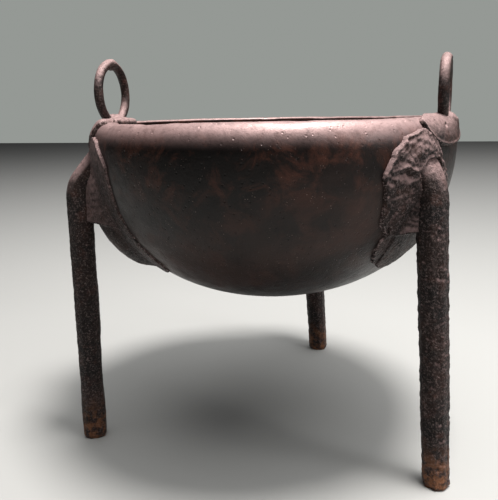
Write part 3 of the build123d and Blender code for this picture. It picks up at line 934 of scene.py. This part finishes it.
def rough_bronze(name, base, light, speckle, relief, rust=0.0, dust_and_painted_light_from=0.05):
    """Corroded casting skin: dark hollows, worn tops with dust on them, light grains, rust stains.
    Where the dust ramp starts below level, as on the pads, its pale colour is also painted light
    on the lit faces.
    """
    patina = Patina(name)
    broad = patina.ramp(patina.noise(34 * MM, 4, 0.6, 0.5), 0.35, 0.68)
    colour = patina.mix(broad, DARK, base)
    tint = patina.ramp(patina.noise(13 * MM, 5, 0.7), 0.5, 0.72)
    colour = patina.mix(patina.times(tint, 0.35), colour, RED)
    grain = patina.ramp(patina.noise(1.9 * MM, 4, 0.75), 0.50, 0.68)
    tops = patina.ramp(patina.pointiness, 0.49, 0.56)
    grains = patina.times(patina.plus(patina.times(tops, 0.7), 0.3), grain)
    colour = patina.mix(patina.times(grains, speckle), colour, light)
    # Pale dust on upward faces; where the start lies below level, as on the pads, it also paints
    # light onto their lit sideways faces
    up = patina.ramp(patina.facing_up, dust_and_painted_light_from, dust_and_painted_light_from + DUST_AND_PAINTED_LIGHT_SPAN)
    pale_upward_mask = patina.times(up, patina.ramp(patina.noise(4 * MM, 5, 0.75), 0.15, 0.6))
    colour = patina.mix(patina.times(pale_upward_mask, 0.85), colour, DUST)
    if rust:
        low = patina.ramp(patina.height, *RUST_BAND)
        stain = patina.times(low, patina.ramp(patina.noise(9 * MM, 5, 0.7), 0.42, 0.6))
        colour = patina.mix(patina.times(stain, rust), colour, RUST)
    patina.link(colour, patina.shader.inputs["Base Color"])
    rough = patina.ramp(patina.noise(5 * MM, 5, 0.7), 0.3, 0.7, *CASTING_ROUGHNESS)
    patina.link(rough, patina.shader.inputs["Roughness"])
    patina.shader.inputs["Metallic"].default_value = CASTING_METALLIC
    patina.shader.inputs["Specular IOR Level"].default_value = CASTING_SPECULAR
    pit = patina.ramp(patina.cells(2.6 * MM), 0.08, 0.32)
    patina.bump([
        (patina.noise(3.4 * MM, 6, 0.75), 1.0 * MM * relief),
        (patina.noise(1.1 * MM, 3, 0.7), 0.4 * MM * relief),
        (pit, 0.4 * MM * relief)])
    return patina.material


def dress(piece, material):
    piece.data.materials.clear()
    piece.data.materials.append(material)


# Stage, lamps and camera

FLOOR_REACH = 6.0
FLOOR_COLOUR = (0.43, 0.43, 0.415, 1)
ROOM_COLOUR = (0.60, 0.62, 0.64, 1)
ROOM_STRENGTH = 0.06
BACKDROP_COLOUR = (0.300, 0.318, 0.300, 1)
LAMPS = (
    # name, place, aim, size in metres, power in watts, colour
    ("ceiling", (0.6, 0.3, 3.2), (0.2, 0.3, 0), 5.0, 130, (1, 1, 1)),
    ("key", (0.28, -0.10, 1.80), (0, 0, 0.25), 0.42, 42, (1.0, 0.97, 0.95)),
    ("side", (1.6, -0.35, 1.0), (0.1, 0, 0.25), 0.6, 7, (1, 1, 1)),
)


def make_floor():
    mesh = bpy.data.meshes.new("floor")
    corners = ((-1, -1), (1, -1), (1, 1), (-1, 1))
    mesh.from_pydata(
        [(x * FLOOR_REACH, y * FLOOR_REACH, 0) for x, y in corners], [], [(0, 1, 2, 3)])
    floor = add_object("floor", mesh)
    material = bpy.data.materials.new("pale_floor")
    material.use_nodes = True
    shader = material.node_tree.nodes["Principled BSDF"]
    shader.inputs["Base Color"].default_value = FLOOR_COLOUR
    shader.inputs["Roughness"].default_value = 0.8
    mesh.materials.append(material)


def make_lamp(name, place, aim, size, power, colour):
    lamp = bpy.data.lights.new(name, "AREA")
    lamp.shape = "DISK"
    lamp.size = size
    lamp.energy = power
    lamp.color = colour
    holder = bpy.data.objects.new(name, lamp)
    holder.location = place
    holder.rotation_euler = (Vector(aim) - Vector(place)).to_track_quat("-Z", "Y").to_euler()
    bpy.context.scene.collection.objects.link(holder)


def make_world():
    """A dim room all round, with a pale grey backdrop that only the camera sees."""
    world = bpy.data.worlds.new("pale_room")
    bpy.context.scene.world = world
    world.use_nodes = True
    tree = world.node_tree
    room = tree.nodes["Background"]
    room.inputs["Color"].default_value = ROOM_COLOUR
    room.inputs["Strength"].default_value = ROOM_STRENGTH
    backdrop = tree.nodes.new("ShaderNodeBackground")
    backdrop.inputs["Color"].default_value = BACKDROP_COLOUR
    backdrop.inputs["Strength"].default_value = 1.0
    seen = tree.nodes.new("ShaderNodeLightPath").outputs["Is Camera Ray"]
    mix = tree.nodes.new("ShaderNodeMixShader")
    tree.links.new(seen, mix.inputs[0])
    tree.links.new(room.outputs[0], mix.inputs[1])
    tree.links.new(backdrop.outputs[0], mix.inputs[2])
    tree.links.new(mix.outputs[0], tree.nodes["World Output"].inputs["Surface"])


# Where the photograph was taken from, in metres, and its three directions
EYE = Vector((0.1755, -0.6120, 0.3433))
AHEAD = Vector((-0.3073, 0.9241, -0.2271))
UPWARD = Vector((-0.0524, 0.2218, 0.9737))
LENS_PIXELS = 593.04
FRAME_PIXELS = 500
SENSOR = 36                        # millimetres


def make_camera():
    camera = bpy.data.cameras.new("camera")
    camera.sensor_width = SENSOR
    camera.lens = SENSOR * LENS_PIXELS / FRAME_PIXELS
    camera.clip_start = 0.02
    holder = bpy.data.objects.new("camera", camera)
    back = -AHEAD.normalized()
    right = UPWARD.cross(back).normalized()
    up = back.cross(right)
    turn = Matrix((right, up, back)).transposed()
    holder.matrix_world = Matrix.Translation(EYE) @ turn.to_4x4()
    bpy.context.scene.collection.objects.link(holder)
    bpy.context.scene.camera = holder


bowl_skin = bowl_bronze()
leg_skin = rough_bronze(
    "leg_bronze_patina", (0.026, 0.013, 0.010), (0.56, 0.42, 0.40),
    speckle=0.8, relief=1.9, rust=0.8)
# The pads' pale dust reaches faces turned slightly down, as painted light on their lit faces as
# well as dust
pad_skin = rough_bronze(
    "pad_bronze_patina", (0.036, 0.020, 0.017), (0.56, 0.43, 0.42),
    speckle=0.85, relief=1.9, dust_and_painted_light_from=-0.25)
handle_skin = rough_bronze(
    "handle_bronze_patina", (0.045, 0.026, 0.022), (0.48, 0.36, 0.34),
    speckle=0.5, relief=0.8)

dress(make_bowl(), bowl_skin)
for side in ("front_right", "front_left", "back"):
    leg = make_leg(side)
    dress(leg, leg_skin)
    dress(make_pad(side, leg), pad_skin)
for side in ("left", "right"):
    dress(make_saddle(side), handle_skin)
    dress(make_ring(side), handle_skin)

make_floor()
make_world()
for lamp in LAMPS:
    make_lamp(*lamp)
make_camera()
bpy.context.scene.view_settings.view_transform = "Standard"
